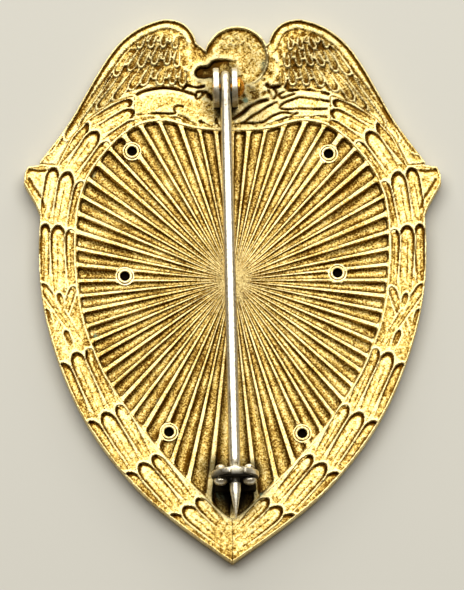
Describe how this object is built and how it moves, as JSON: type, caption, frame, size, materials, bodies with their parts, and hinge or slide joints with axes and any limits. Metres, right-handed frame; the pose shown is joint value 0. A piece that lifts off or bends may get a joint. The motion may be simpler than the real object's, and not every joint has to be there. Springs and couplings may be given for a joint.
{
  "type": "pin-back badge",
  "caption": "Struck brass shield badge with an eagle crest, riveted front ribbons, a hinged pin and a rotary safety catch on its back.",
  "frame": {"origin": "middle of the badge's outline, on the plane of the front ribbons that it lies on", "axes": "+X to the right seen from the back, +Y up towards the eagle's head, +Z out of the back towards the pin"},
  "size_m": [0.0566, 0.0759, 0.009],
  "materials": {
    "plate_brass": "aged gilt brass, struck",
    "rivet_brass": "rolled tube, polished by handling",
    "ribbon_brass": "polished gilt brass",
    "hinge_nickel": "nickel silver, tarnished at the foot",
    "rivet_gilt": "gilt, domed",
    "pin_nickel": "drawn nickel silver wire, smooth",
    "catch_nickel": "nickel silver, worn bright on top",
    "rotor_nickel": "nickel silver, rounded by wear"
  },
  "bodies": {
    "badge": {"badge_plate": "plate_brass", "rivet_top_left": "rivet_brass", "rivet_top_right": "rivet_brass", "rivet_middle_left": "rivet_brass", "rivet_middle_right": "rivet_brass", "rivet_bottom_left": "rivet_brass", "rivet_bottom_right": "rivet_brass", "ribbon_top": "ribbon_brass", "ribbon_middle": "ribbon_brass", "ribbon_bottom": "ribbon_brass", "hinge_patch": "hinge_nickel", "hinge_bracket": "hinge_nickel", "hinge_rivet": "rivet_gilt", "catch_patch": "catch_nickel", "catch_ring": "catch_nickel"},
    "pin": {"pin_stem": "pin_nickel"},
    "rotor": {"catch_rotor": "rotor_nickel", "rotor_collar": "rotor_nickel"}
  },
  "joints": [
    {"name": "pin_hinge", "type": "hinge", "parent": "badge", "child": "pin", "pos_m": [-0.00095, 0.0275, 0.00585], "axis": [-0.9997, -0.024, 0], "range_deg": [0, 110]},
    {"name": "catch_lock", "type": "hinge", "parent": "badge", "child": "rotor", "pos_m": [0.00035, -0.02658, 0.00585], "axis": [0.024, -0.9997, 0], "range_deg": [0, 180]}
  ]
}
